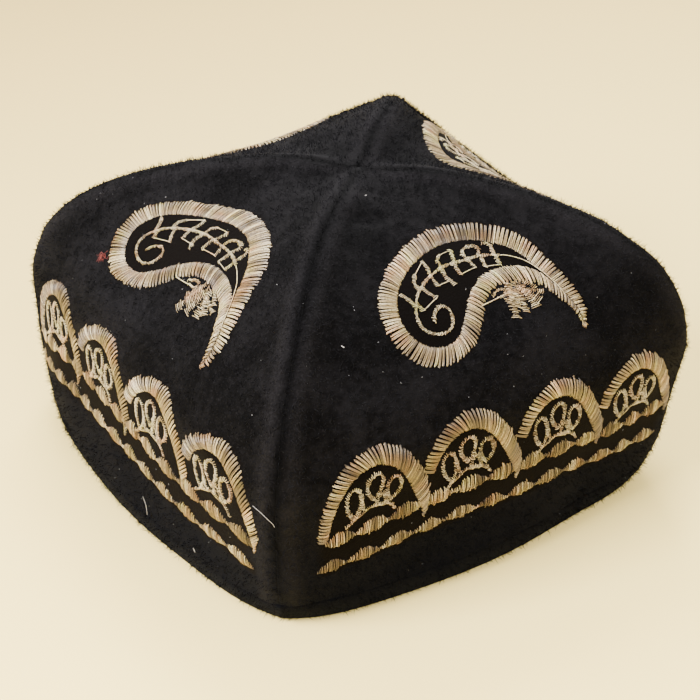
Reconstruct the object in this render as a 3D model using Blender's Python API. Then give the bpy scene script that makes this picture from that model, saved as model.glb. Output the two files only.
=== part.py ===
"""Square skullcap of four velvet gores that meet in the middle of a low crown, on a turned hem.

The cap's middle is the Z axis and its rim lies on Z = 0. Its four sides face -Y, +X, +Y and -X,
and a seam runs up each corner ridge, from the hem over the shoulder to the middle of the crown.
"""
import math
from collections import namedtuple

import bmesh
import bpy
import numpy as np

# Driving sizes, in metres
HALF_WIDTH = 0.0800     # from the middle to a side, at the rim
HEIGHT = 0.1000         # from the rim to the crown
WALL = 0.0022           # velvet and its backing
HEM_HEIGHT = 0.0100     # the turned edge
HEM_WALL = 0.0034       # the cloth is folded double there
HEM_ROUND = 0.0009      # rounding of the hem's lower and upper edges
GAP = 0.0004            # between neighbouring pieces
TIP = 0.0008            # half width of the cloth's end in the middle of the crown
TIP_INSIDE = 0.0006     # the same on the inner side
SKEW = 0.020            # the cap is pulled out of square along one diagonal by this share
MIDDLE_X = -0.00038     # brings the middle of the cap over the origin
MIDDLE_Y = -0.00010

# Shape of a side, from the rim to the middle of the crown. Heights are shares of HEIGHT and
# reaches are shares of HALF_WIDTH. The corner stands at (reach, reach) from the middle. A high
# roundness keeps the side flat up to the corner, and a low one bows it all along.
Section = namedtuple("Section", "way corner_height corner_reach side_height side_reach roundness")
SECTIONS = (
    Section(0.00, 0.000, 0.845, 0.000, 1.000, 4.0),     # rim
    Section(0.08, 0.100, 0.895, 0.100, 1.035, 4.0),     # top of the hem
    Section(0.16, 0.176, 0.926, 0.226, 1.045, 4.0),
    Section(0.29, 0.343, 0.951, 0.396, 1.048, 4.0),
    Section(0.42, 0.496, 0.964, 0.560, 1.060, 4.0),     # widest
    Section(0.54, 0.632, 0.935, 0.650, 1.005, 3.5),     # shoulder
    Section(0.63, 0.771, 0.843, 0.728, 0.895, 3.0),
    Section(0.75, 0.895, 0.664, 0.834, 0.716, 2.5),
    Section(0.86, 0.981, 0.418, 0.939, 0.448, 2.0),     # crown
    Section(0.94, 1.012, 0.224, 0.980, 0.231, 2.0),     # the ridges stand highest here
    Section(1.00, 0.993, 0.000, 0.993, 0.000, 2.0),     # and dip where the four seams meet
)

# Places where the soft cloth has been pushed in or pulled out. All are shares of HALF_WIDTH:
# the centre of the dent, how far it reaches, and how far it moves the cloth.
Dent = namedtuple("Dent", "x y z reach push_x push_y push_z")
DENTS = (
    Dent(-0.38, -0.38, 1.15, 0.31, -0.011, 0.018, 0.014),   # ridges of the crown
    Dent(0.38, -0.38, 1.15, 0.31, 0.002, 0.011, 0.008),
    Dent(-0.38, 0.38, 1.15, 0.31, -0.001, -0.007, -0.013),
    Dent(0.38, 0.38, 1.15, 0.31, 0.046, -0.007, 0.040),
    Dent(-0.62, -0.62, 0.94, 0.40, -0.007, 0.030, 0.030),   # corners of the shoulder
    Dent(0.62, -0.62, 0.94, 0.40, 0.035, -0.057, 0.018),
    Dent(-0.62, 0.62, 0.94, 0.40, 0.028, -0.028, -0.022),
    Dent(0.62, 0.62, 0.94, 0.40, -0.018, 0.009, -0.016),
    Dent(0.00, -0.78, 0.88, 0.40, 0.035, -0.003, 0.027),    # sides, at the shoulder
    Dent(0.78, 0.00, 0.88, 0.40, -0.005, -0.016, -0.031),
    Dent(0.00, 0.78, 0.88, 0.40, -0.002, -0.012, -0.015),
    Dent(-0.78, 0.00, 0.88, 0.40, -0.012, -0.005, -0.012),
    Dent(1.00, -0.60, 0.60, 0.34, 0.037, 0.000, 0.000),     # the wall's upper half
    Dent(0.88, -0.88, 0.50, 0.30, 0.005, 0.020, 0.000),
    Dent(-0.88, 0.88, 0.50, 0.30, -0.009, -0.030, 0.000),
    Dent(-0.52, -1.02, 0.10, 0.34, 0.000, 0.030, 0.000),    # its foot, and the rim with it
    Dent(0.52, -1.02, 0.10, 0.34, 0.000, 0.045, 0.000),
    Dent(0.84, -0.84, 0.10, 0.28, -0.014, -0.043, 0.000),
    Dent(1.02, -0.50, 0.10, 0.34, -0.013, 0.000, 0.000),
    Dent(-0.84, -0.84, 0.10, 0.28, 0.010, -0.003, 0.000),
    Dent(-1.02, -0.52, 0.10, 0.34, 0.027, 0.000, 0.000),
    Dent(-1.05, 0.00, 0.10, 0.36, -0.028, 0.000, 0.000),
    Dent(-1.02, 0.52, 0.10, 0.34, -0.016, 0.000, 0.000),
)

# Folds of the plush across a side, from one place on it to another. u runs from -1 at the side's
# left seam to 1 at its right one, seen from outside, and way runs up the sections. The depth is
# inward, so a puffed ridge has a negative one.
Fold = namedtuple("Fold", "side u way end_u end_way half_width depth")
FOLDS = (
    Fold("front", -0.82, 0.897, -0.30, 0.895, 0.0030, 0.0011),  # dimple beside the near seam
    Fold("front", -0.40, 0.968, 0.02, 0.927, 0.0024, 0.0008),   # puckers by the middle
    Fold("front", 0.63, 0.968, 0.70, 0.915, 0.0024, 0.0006),
    Fold("front", -0.80, 0.70, -0.74, 0.42, 0.0060, 0.0011),    # soft hollow below the shoulder
    Fold("front", -0.30, 0.60, 0.40, 0.63, 0.0060, -0.0010),    # ridge along the shoulder
    Fold("right", -0.50, 0.90, 0.30, 0.86, 0.0040, 0.0009),
    Fold("right", -0.60, 0.52, 0.10, 0.58, 0.0060, 0.0010),
    Fold("back", -0.40, 0.91, 0.45, 0.90, 0.0040, 0.0009),
    Fold("back", 0.55, 0.66, 0.10, 0.54, 0.0065, 0.0010),
    Fold("left", -0.40, 0.955, 0.35, 0.93, 0.0028, 0.0008),
    Fold("left", 0.84, 0.72, 0.66, 0.56, 0.0055, 0.0012),
    Fold("left", -0.60, 0.52, 0.10, 0.58, 0.0060, -0.0009),
)

# The seam draws the cloth in, and the plush puffs up on both sides of it
SEAM_DEPTH = 0.0010
SEAM_HALF_WIDTH = 0.0014
PUFF_HEIGHT = 0.0005
PUFF_AWAY = 0.0042
PUFF_HALF_WIDTH = 0.0026
SEAM_FADE_CROWN = 0.05    # the seam's relief fades out over this much way before the middle
SEAM_FADE_HEM = 0.17    # and over this much way above the hem
SEAM_BLEND = 0.0060     # how far from a seam the two sides' reliefs pull in one direction

# The wall's inner side lies level with the outer one up to WALL_TURNS, and below it from
# CROWN_FLAT on, with the two blended between
WALL_TURNS = 0.46
CROWN_FLAT = 0.86

# Grids of the faceted solids
PANEL_ROWS = 22
HEM_COLUMNS = 18        # closest together at the corners
EDGE_COLUMNS = (0.0018, 0.0042, 0.0085)     # columns beside a seam, metres from it
INNER_COLUMNS = 11

# The sides, each a quarter turn on from the one before it
SIDES = ("front", "right", "back", "left")


def smooth_curve(xs, ys, x):
    """Curve through (xs, ys) that never overshoots, read at x. ys may have several columns."""
    xs = np.asarray(xs, float)
    ys = np.asarray(ys, float)
    x = np.atleast_1d(np.asarray(x, float))
    step = np.diff(xs)[:, None]
    rise = np.diff(ys, axis=0) / step
    slope = np.zeros_like(ys)
    same_way = rise[:-1] * rise[1:] > 0
    before = 2 * step[1:] + step[:-1]
    after = step[1:] + 2 * step[:-1]
    safe = np.where(same_way, rise[:-1], 1.0), np.where(same_way, rise[1:], 1.0)
    mean = (before + after) / (before / safe[0] + after / safe[1])
    slope[1:-1] = np.where(same_way, mean, 0.0)
    slope[0] = rise[0]
    slope[-1] = rise[-1]
    k = np.clip(np.searchsorted(xs, x, side="right") - 1, 0, len(xs) - 2)
    width = step[k]
    s = ((x - xs[k])[:, None]) / width
    return (ys[k] * (1 + 2 * s) * (1 - s) ** 2 + slope[k] * width * s * (1 - s) ** 2
            + ys[k + 1] * s * s * (3 - 2 * s) + slope[k + 1] * width * s * s * (s - 1))


def section_at(way):
    """Sizes of the section at each way, in metres, one row for each value."""
    table = np.array([row[1:] for row in SECTIONS])
    scale = np.array([HEIGHT, HALF_WIDTH, HEIGHT, HALF_WIDTH, 1.0])
    return smooth_curve([row.way for row in SECTIONS], table * scale, way)


def drawn_in(reach, inset, least):
    """The reach of the cloth's inner side, which never quite closes at the tip."""
    reach = np.maximum(reach, least)
    return np.maximum(reach * reach / (reach + inset), least)


def side_points(way, u, wall=0.0):
    """Points of the -Y side at (way, u), before the dents. wall is how far they lie inside."""
    corner_z, corner, side_z, middle, roundness = section_at(way).T
    least = TIP_INSIDE if wall else TIP
    over = np.clip((way - WALL_TURNS) / (CROWN_FLAT - WALL_TURNS), 0.0, 1.0) * math.pi / 2
    inset = wall * np.cos(over)
    drop = wall * np.sin(over)
    corner = drawn_in(corner, inset, least)
    middle = drawn_in(middle, inset, least)
    bow = corner + (middle - corner) * (1 - np.abs(u) ** roundness)
    height = side_z + (corner_z - side_z) * u * u - drop
    return np.stack([corner * u, -bow, height], axis=-1)


def turned(points, quarter_turns):
    """Points turned about Z by whole quarter turns."""
    x, y = points[..., 0], points[..., 1]
    for _ in range(quarter_turns):
        x, y = -y, x
    return np.stack([x, y, points[..., 2]], axis=-1)


def settled(points):
    """The turned side pulled out of square and pushed by the dents."""
    x = points[..., 0] + points[..., 1] * SKEW
    y = points[..., 1] + points[..., 0] * SKEW
    out = np.stack([x, y, points[..., 2]], axis=-1)
    moved = out.copy()
    for dent in DENTS:
        centre = np.array([dent.x, dent.y, dent.z]) * HALF_WIDTH
        push = np.array([dent.push_x, dent.push_y, dent.push_z]) * HALF_WIDTH
        far = ((out - centre) ** 2).sum(axis=-1) / (dent.reach * HALF_WIDTH) ** 2
        moved += np.exp(-far)[..., None] * push
    return moved + np.array([MIDDLE_X, MIDDLE_Y, 0.0])


def cap_points(way, u, quarter_turns, wall=0.0):
    """Points of one side of the finished form, without its folds."""
    way, u = np.broadcast_arrays(np.asarray(way, float), np.asarray(u, float))
    points = side_points(way.ravel(), u.ravel(), wall)
    return settled(turned(points, quarter_turns)).reshape(way.shape + (3,))


def facing(way, u, quarter_turns):
    """Unit normals of one side of the outer form, by small steps along it and up it."""
    step = 0.004
    u = np.clip(u, -1 + step, 1 - step)
    way = np.clip(way, 0.0, 0.985)
    along = cap_points(way, u + step, quarter_turns) - cap_points(way, u - step, quarter_turns)
    up = cap_points(way + step, u, quarter_turns) - cap_points(way, u, quarter_turns)
    normal = np.cross(along, up)
    return normal / np.linalg.norm(normal, axis=-1, keepdims=True)


def outward(way, u, quarter_turns):
    """Unit normals that turn, beside a seam, to the middle between its two sides."""
    own = facing(way, u, quarter_turns)
    seam_u = np.where(u < 0, -1.0, 1.0)
    at_seam = facing(way, seam_u, quarter_turns)
    beyond = np.where(u[..., None] < 0, facing(way, -seam_u, (quarter_turns + 3) % 4),
                      facing(way, -seam_u, (quarter_turns + 1) % 4))
    near = bell((1 - np.abs(u)) * reach_of_corner(way), SEAM_BLEND)[..., None]
    normal = own * (1 - near) + (at_seam + beyond) * near / 2
    return normal / np.linalg.norm(normal, axis=-1, keepdims=True)


def reach_of_corner(way):
    """How far the corner stands from the centre, along X, at each way."""
    return section_at(way.ravel())[:, 1].reshape(way.shape)


def bell(distance, half_width):
    """1 at no distance, falling smoothly to nothing by about twice the half width."""
    return np.exp(-(distance / half_width) ** 2)


def relief(side, way, u, points):
    """How far the folds and the seams move the cloth outward at each point."""
    from_seam = (1 - np.abs(u)) * reach_of_corner(way)
    hem_way = SECTIONS[1].way
    fade = np.clip((1 - way) / SEAM_FADE_CROWN, 0.0, 1.0)
    fade = fade * np.clip((way - hem_way) / SEAM_FADE_HEM, 0.0, 1.0)
    out = -SEAM_DEPTH * bell(from_seam, SEAM_HALF_WIDTH)
    out += PUFF_HEIGHT * bell(from_seam - PUFF_AWAY, PUFF_HALF_WIDTH)
    out *= fade
    quarter_turns = SIDES.index(side)
    for fold in FOLDS:
        if fold.side != side:
            continue
        ends = cap_points(np.array([fold.way, fold.end_way]), np.array([fold.u, fold.end_u]),
                          quarter_turns)
        run = ends[1] - ends[0]
        share = np.clip(((points - ends[0]) @ run) / (run @ run), 0.0, 1.0)
        middle = cap_points(fold.way + share * (fold.end_way - fold.way),
                            fold.u + share * (fold.end_u - fold.u), quarter_turns)
        away = np.linalg.norm(points - middle, axis=-1)
        out -= fold.depth * bell(away, fold.half_width) * np.sin(math.pi * (0.12 + 0.76 * share))
    return out


def panel_ways():
    """The rows of a gore, from just above the hem to the tip."""
    heights = section_at(np.linspace(0.0, 0.2, 201))[:, 2]
    first = np.interp(HEM_HEIGHT + GAP, heights, np.linspace(0.0, 0.2, 201))
    return np.linspace(first, 1.0, PANEL_ROWS + 1)


def panel_columns(way, wall):
    """The columns of a gore at one row: close together beside the seams, and clear of them."""
    size = section_at(way)[0]
    least = TIP_INSIDE if wall else TIP
    corner = max(size[1] - wall, least)
    middle = max(size[3] - wall, least)
    lean_in = corner + size[4] * max(middle - corner, 0.0)
    edge = 1 - min(GAP / math.sqrt(2) / lean_in, 0.30)
    beside = [edge * (1 - min(away / corner, 0.12 * (k + 1)))
              for k, away in enumerate(EDGE_COLUMNS)]
    right = [edge] + beside
    inner = list(np.linspace(-right[-1], right[-1], INNER_COLUMNS + 1)[1:-1])
    return np.array([-v for v in right] + inner + right[::-1])


def grid_solid(name, outer, inner, closed):
    """A wall between two grids of points. A closed grid runs round the cap and has no ends."""
    rows, columns = outer.shape[:2]
    mesh = bmesh.new()
    layers = [[[mesh.verts.new(p) for p in row] for row in grid] for grid in (outer, inner)]
    last = columns if closed else columns - 1
    for r in range(rows - 1):
        for c in range(last):
            d = (c + 1) % columns
            a, b = layers
            mesh.faces.new((a[r][c], a[r][d], a[r + 1][d], a[r + 1][c]))
            mesh.faces.new((b[r][d], b[r][c], b[r + 1][c], b[r + 1][d]))
    for c in range(last):
        d = (c + 1) % columns
        a, b = layers
        mesh.faces.new((a[0][d], a[0][c], b[0][c], b[0][d]))
        mesh.faces.new((a[-1][c], a[-1][d], b[-1][d], b[-1][c]))
    if not closed:
        for r in range(rows - 1):
            a, b = layers
            mesh.faces.new((a[r][0], a[r + 1][0], b[r + 1][0], b[r][0]))
            mesh.faces.new((a[r + 1][-1], a[r][-1], b[r][-1], b[r + 1][-1]))
    bmesh.ops.triangulate(mesh, faces=mesh.faces[:])
    data = bpy.data.meshes.new(name)
    mesh.to_mesh(data)
    mesh.free()
    return bpy.data.objects.new(name, data)


def gore(side):
    """One velvet gore: its outer side, its inner side, and the edges at hem, seams and tip."""
    quarter_turns = SIDES.index(side)
    ways = panel_ways()
    grids = []
    for wall in (0.0, WALL):
        u = np.array([panel_columns(way, wall) for way in ways])
        way = np.repeat(ways[:, None], u.shape[1], axis=1)
        points = cap_points(way, u, quarter_turns, wall)
        shape_u = np.array([panel_columns(way, 0.0) for way in ways])
        on_outside = cap_points(way, shape_u, quarter_turns)
        lift = relief(side, way, shape_u, on_outside)
        grids.append(points + lift[..., None] * outward(way, shape_u, quarter_turns))
    return grid_solid("panel_" + side, grids[0], grids[1], closed=False)


def hem():
    """The turned hem: a band of one height all round, flat below, with rounded edges."""
    heights = section_at(np.linspace(0.0, 0.2, 201))[:, 2]
    ways = np.linspace(0.0, 0.2, 201)
    profile_z = np.array([0.0, HEM_ROUND, HEM_HEIGHT / 2, HEM_HEIGHT - HEM_ROUND, HEM_HEIGHT])
    tuck = np.array([HEM_ROUND, 0.0, 0.0, 0.0, HEM_ROUND])
    u = np.sin(np.linspace(-1, 1, HEM_COLUMNS + 1)[:-1] * math.pi / 2)
    grids = []
    for inside in (False, True):
        rows = []
        for z, tucked in zip(profile_z, tuck):
            way = np.full_like(u, np.interp(z, heights, ways))
            wall = HEM_WALL - tucked if inside else tucked
            ring = [cap_points(way, u, turns, wall) for turns in range(len(SIDES))]
            row = np.concatenate(ring)
            row[:, 2] = z
            rows.append(row)
        grids.append(np.array(rows))
    return grid_solid("hem_band", grids[0], grids[1], closed=True)


def cloth(name, colour, roughness):
    """A plain cloth material."""
    material = bpy.data.materials.new(name)
    material.use_nodes = True
    surface = material.node_tree.nodes["Principled BSDF"]
    surface.inputs["Base Color"].default_value = (*colour, 1.0)
    surface.inputs["Roughness"].default_value = roughness
    surface.inputs["Metallic"].default_value = 0.0
    surface.inputs["Sheen Weight"].default_value = 0.4
    material.diffuse_color = (*colour, 1.0)
    return material


def clear_scene():
    """Removes what the new scene holds."""
    for thing in list(bpy.data.objects):
        bpy.data.objects.remove(thing, do_unlink=True)


def build():
    """Makes the cap in a collection of its own."""
    clear_scene()
    cap = bpy.data.collections.new("tubeteika_skullcap")
    bpy.context.scene.collection.children.link(cap)
    pieces = [gore(side) for side in SIDES]
    pieces.append(hem())
    for piece in pieces:
        piece.data.materials.append(cloth(piece.name + "_velvet", (0.020, 0.016, 0.018), 0.85))
        piece.data.shade_smooth()
        piece.data.set_sharp_from_angle(angle=math.radians(50))
        cap.objects.link(piece)


build()
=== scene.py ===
"""Looks of the velvet skullcap: plush gores, turned hem, and embroidery sewn thread by thread.

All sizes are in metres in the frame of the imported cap. The embroidery is drawn flat, in
millimetres on a side's cloth: across from the side's middle and up from the rim. lay_flat turns
such a place into one on the form of the cap, which follows the same tables as its solids.
"""
import math
from collections import namedtuple

import bpy
import numpy as np
from mathutils import Matrix, Vector


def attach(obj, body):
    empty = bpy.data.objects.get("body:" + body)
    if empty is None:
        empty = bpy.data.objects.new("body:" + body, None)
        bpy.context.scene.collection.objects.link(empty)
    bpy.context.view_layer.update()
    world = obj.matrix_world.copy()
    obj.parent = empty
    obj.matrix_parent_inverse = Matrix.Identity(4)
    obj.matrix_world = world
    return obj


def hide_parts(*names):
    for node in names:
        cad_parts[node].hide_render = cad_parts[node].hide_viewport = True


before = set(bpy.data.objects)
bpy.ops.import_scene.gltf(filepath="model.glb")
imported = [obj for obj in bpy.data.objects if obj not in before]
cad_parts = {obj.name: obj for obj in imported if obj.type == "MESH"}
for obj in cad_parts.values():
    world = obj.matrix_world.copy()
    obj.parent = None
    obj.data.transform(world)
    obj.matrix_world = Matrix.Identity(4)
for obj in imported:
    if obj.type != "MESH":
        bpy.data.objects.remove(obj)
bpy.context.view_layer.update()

MM = 0.001

# Form of the cap, the same as its solids
HALF_WIDTH = 0.0800
HEIGHT = 0.1000
WALL = 0.0022
HEM_HEIGHT = 0.0100
HEM_WALL = 0.0034
TIP = 0.0002
SKEW = 0.020
MIDDLE_X = -0.00038
MIDDLE_Y = -0.00010

Section = namedtuple("Section", "way corner_height corner_reach side_height side_reach roundness")
SECTIONS = (
    Section(0.00, 0.000, 0.845, 0.000, 1.000, 4.0),
    Section(0.08, 0.100, 0.895, 0.100, 1.035, 4.0),
    Section(0.16, 0.176, 0.926, 0.226, 1.045, 4.0),
    Section(0.29, 0.343, 0.951, 0.396, 1.048, 4.0),
    Section(0.42, 0.496, 0.964, 0.560, 1.060, 4.0),
    Section(0.54, 0.632, 0.935, 0.650, 1.005, 3.5),
    Section(0.63, 0.771, 0.843, 0.728, 0.895, 3.0),
    Section(0.75, 0.895, 0.664, 0.834, 0.716, 2.5),
    Section(0.86, 0.981, 0.418, 0.939, 0.448, 2.0),
    Section(0.94, 1.012, 0.224, 0.980, 0.231, 2.0),
    Section(1.00, 0.993, 0.000, 0.993, 0.000, 2.0),
)

Dent = namedtuple("Dent", "x y z reach push_x push_y push_z")
DENTS = (
    Dent(-0.38, -0.38, 1.15, 0.31, -0.011, 0.018, 0.014),   # ridges of the crown
    Dent(0.38, -0.38, 1.15, 0.31, 0.002, 0.011, 0.008),
    Dent(-0.38, 0.38, 1.15, 0.31, -0.001, -0.007, -0.013),
    Dent(0.38, 0.38, 1.15, 0.31, 0.046, -0.007, 0.040),
    Dent(-0.62, -0.62, 0.94, 0.40, -0.007, 0.030, 0.030),   # corners of the shoulder
    Dent(0.62, -0.62, 0.94, 0.40, 0.035, -0.057, 0.018),
    Dent(-0.62, 0.62, 0.94, 0.40, 0.028, -0.028, -0.022),
    Dent(0.62, 0.62, 0.94, 0.40, -0.018, 0.009, -0.016),
    Dent(0.00, -0.78, 0.88, 0.40, 0.035, -0.003, 0.027),    # sides, at the shoulder
    Dent(0.78, 0.00, 0.88, 0.40, -0.005, -0.016, -0.031),
    Dent(0.00, 0.78, 0.88, 0.40, -0.002, -0.012, -0.015),
    Dent(-0.78, 0.00, 0.88, 0.40, -0.012, -0.005, -0.012),
    Dent(1.00, -0.60, 0.60, 0.34, 0.037, 0.000, 0.000),     # the wall's upper half
    Dent(0.88, -0.88, 0.50, 0.30, 0.005, 0.020, 0.000),
    Dent(-0.88, 0.88, 0.50, 0.30, -0.009, -0.030, 0.000),
    Dent(-0.52, -1.02, 0.10, 0.34, 0.000, 0.030, 0.000),    # its foot, and the rim with it
    Dent(0.52, -1.02, 0.10, 0.34, 0.000, 0.045, 0.000),
    Dent(0.84, -0.84, 0.10, 0.28, -0.014, -0.043, 0.000),
    Dent(1.02, -0.50, 0.10, 0.34, -0.013, 0.000, 0.000),
    Dent(-0.84, -0.84, 0.10, 0.28, 0.010, -0.003, 0.000),
    Dent(-1.02, -0.52, 0.10, 0.34, 0.027, 0.000, 0.000),
    Dent(-1.05, 0.00, 0.10, 0.36, -0.028, 0.000, 0.000),
    Dent(-1.02, 0.52, 0.10, 0.34, -0.016, 0.000, 0.000),
)

Fold = namedtuple("Fold", "side u way end_u end_way half_width depth")
FOLDS = (
    Fold("front", -0.82, 0.897, -0.30, 0.895, 0.0030, 0.0011),
    Fold("front", -0.40, 0.968, 0.02, 0.927, 0.0024, 0.0008),
    Fold("front", 0.63, 0.968, 0.70, 0.915, 0.0024, 0.0006),
    Fold("front", -0.80, 0.70, -0.74, 0.42, 0.0060, 0.0011),
    Fold("front", -0.30, 0.60, 0.40, 0.63, 0.0060, -0.0010),
    Fold("right", -0.50, 0.90, 0.30, 0.86, 0.0040, 0.0009),
    Fold("right", -0.60, 0.52, 0.10, 0.58, 0.0060, 0.0010),
    Fold("back", -0.40, 0.91, 0.45, 0.90, 0.0040, 0.0009),
    Fold("back", 0.55, 0.66, 0.10, 0.54, 0.0065, 0.0010),
    Fold("left", -0.40, 0.955, 0.35, 0.93, 0.0028, 0.0008),
    Fold("left", 0.84, 0.72, 0.66, 0.56, 0.0055, 0.0012),
    Fold("left", -0.60, 0.52, 0.10, 0.58, 0.0060, -0.0009),
)

SEAM_DEPTH = 0.0010
SEAM_HALF_WIDTH = 0.0014
PUFF_HEIGHT = 0.0004
PUFF_AWAY = 0.0040
PUFF_HALF_WIDTH = 0.0026
SEAM_FADE_CROWN = 0.03
SEAM_FADE_HEM = 0.17
SEAM_BLEND = 0.0060
WALL_TURNS = 0.46
CROWN_FLAT = 0.86

SIDES = ("front", "right", "back", "left")

# Grids of the cloth
ROWS = 112
EDGE_ROW = 0.0004       # a row just above a gore's lower edge, so that it stays crisp
GORE_LAP = 0.0003       # how far the gores reach down over the hem
# The hem's outer face as shares of its height and its wall: how high, and how far it bulges out
HEM_PROFILE = ((0.0, 0.10), (0.02, 0.24), (0.06, 0.32), (0.14, 0.36), (0.35, 0.39), (0.60, 0.38),
               (0.85, 0.32), (0.97, 0.25), (1.00, 0.18), (1.05, 0.0))
HEM_COLUMNS = 60
HEM_BARE = 0.0004       # no hairs grow on the hem below this height
SEAM_COLUMNS = (0.0, 0.0005, 0.0010, 0.0016, 0.0023, 0.0031, 0.0040, 0.0050, 0.0062, 0.0078)
MIDDLE_COLUMNS = 46

# The almond motif, once round its satin border from the tail's tip over the head and back
# along the underside: where each stitch ends on the border's outer edge and on its inner one
Border = namedtuple("Border", "out_across out_up in_across in_up")
ALMOND = tuple(Border(*row) for row in (
    (31.2, 74.6, 30.6, 75.4), (32.7, 79.9, 30.9, 80.2), (32.9, 85.2, 29.6, 85.0),
    (31.9, 90.4, 27.8, 89.3), (30.2, 96.7, 25.6, 94.6), (28.5, 102.7, 23.4, 98.9),
    (26.6, 108.6, 21.8, 103.4), (24.1, 113.2, 19.3, 107.1), (21.0, 116.5, 16.2, 109.6),
    (17.4, 118.7, 13.3, 111.4), (13.3, 119.8, 10.0, 112.6), (8.7, 120.1, 6.2, 113.0),
    (3.6, 119.8, 1.8, 112.9), (-1.8, 119.0, -2.6, 112.3), (-7.0, 117.8, -7.1, 111.2),
    (-12.3, 115.9, -11.3, 109.7), (-17.0, 113.7, -15.2, 107.7), (-21.3, 110.9, -18.8, 105.3),
    (-25.2, 107.4, -21.4, 102.9), (-28.3, 103.3, -23.3, 100.2), (-30.3, 98.8, -24.8, 97.0),
    (-31.2, 93.9, -25.5, 93.6), (-30.9, 89.1, -25.3, 90.4), (-29.5, 84.8, -24.3, 87.4),
    (-27.2, 81.2, -22.5, 85.0), (-24.3, 78.6, -20.3, 83.3), (-21.0, 77.1, -17.9, 82.4),
    (-17.1, 76.6, -15.1, 82.2), (-13.1, 77.3, -12.5, 82.9), (-9.5, 78.8, -10.4, 84.3),
    (-6.3, 80.9, -8.7, 86.1), (-3.7, 83.5, -7.0, 88.0), (-1.5, 86.4, -5.0, 90.5),
    (0.5, 89.6, -2.7, 93.4), (2.9, 92.2, -0.1, 95.8), (5.7, 94.0, 2.9, 97.9),
    (8.7, 94.9, 6.4, 99.6), (11.5, 95.0, 10.0, 100.6), (14.6, 94.7, 13.8, 100.8),
    (17.8, 94.2, 17.6, 100.3), (20.5, 93.2, 21.0, 99.0), (22.5, 91.6, 23.4, 97.1),
    (24.2, 89.3, 25.3, 94.0), (26.1, 86.4, 27.2, 90.2), (28.0, 83.3, 29.0, 86.0),
    (29.4, 80.4, 30.3, 81.6), (30.2, 77.4, 30.6, 78.2), (30.8, 74.9, 30.5, 75.8),
))

# Inside the almond: a stem that ends in a curl, with boxy leaves on it
STEM = ((-16.2, 90.0), (-15.3, 91.9), (-13.5, 93.5), (-11.7, 93.7), (-10.3, 92.3), (-10.4, 89.6),
        (-11.7, 87.2), (-14.2, 85.9), (-16.8, 86.2), (-19.2, 87.6), (-20.6, 90.0), (-20.4, 93.4),
        (-19.1, 96.2), (-17.4, 98.7), (-15.1, 100.8), (-11.6, 102.9), (-8.4, 104.2), (-4.7, 105.3),
        (-1.0, 105.6), (3.0, 105.7), (7.0, 106.1), (10.8, 106.0), (14.8, 105.2))
STEM_THREAD = ((14.8, 105.2), (17.8, 104.0), (21.2, 101.6), (23.6, 98.2), (25.6, 94.4), (28.2, 88.0))
LEAVES = (
    ((-9.4, 104.1), (-8.8, 106.8), (-9.0, 109.2)),
    ((-15.2, 100.6), (-15.4, 103.4), (-13.8, 105.8)),
    ((-4.7, 105.4), (-4.5, 107.9), (-2.8, 109.3)),
    ((1.6, 110.0), (0.9, 107.9), (0.3, 105.9)),
    ((4.5, 106.0), (4.5, 108.0), (6.3, 109.9), (9.4, 110.3), (10.2, 108.9), (9.0, 106.4)),
    ((13.4, 105.6), (14.3, 108.6), (14.0, 110.4), (12.4, 110.6)),
    ((-14.1, 100.9), (-13.1, 98.6), (-11.7, 96.7)),
    ((-18.6, 97.2), (-18.1, 95.7), (-17.7, 94.2)),
    ((-9.6, 103.8), (-9.4, 101.8), (-9.2, 100.0)),
    ((-4.9, 105.0), (-5.3, 101.8), (-4.0, 98.8)),
    ((-0.4, 105.3), (-0.5, 103.2), (-0.4, 101.3)),
    ((4.6, 105.5), (5.0, 104.0), (5.3, 102.4)),
    ((9.2, 105.4), (8.8, 103.6), (8.5, 101.9)),
    ((13.0, 101.6), (13.4, 103.2), (13.7, 105.0)),
    ((-19.3, 96.4), (-20.2, 99.4), (-21.5, 101.4)),
)
LEAF_THREADS = (
    ((-13.8, 105.8), (-9.0, 109.2)), ((-2.8, 109.3), (1.6, 110.0)), ((-11.7, 96.7), (-17.7, 94.2)),
    ((-9.2, 100.0), (-3.8, 100.4)), ((-0.4, 101.3), (5.3, 102.4)), ((8.5, 101.9), (13.0, 101.6)),
)
# Flower of loose satin petals in the hollow below the tail: base, tip, and half width there
Petal = namedtuple("Petal", "across up tip_across tip_up half_width")
FLOWER = (
    Petal(11.6, 94.6, 9.0, 83.6, 1.6), Petal(13.6, 94.6, 13.0, 84.6, 1.4), Petal(15.0, 94.2, 17.0, 85.4, 1.7),
    Petal(15.6, 91.6, 21.4, 89.8, 0.9), Petal(15.6, 95.6, 19.8, 91.6, 0.9), Petal(11.2, 93.4, 9.0, 88.2, 1.5),
    Petal(14.4, 92.6, 19.0, 87.2, 1.5), Petal(12.8, 92.6, 11.2, 86.4, 1.5),
)
FLOWER_THREAD = ((0.2, 90.1), (4.0, 90.6), (8.4, 91.4))
FLOWER_LINES = (((5.0, 92.0), (7.4, 93.4), (9.4, 93.2), (8.8, 91.4), (6.2, 91.2)),)

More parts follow.
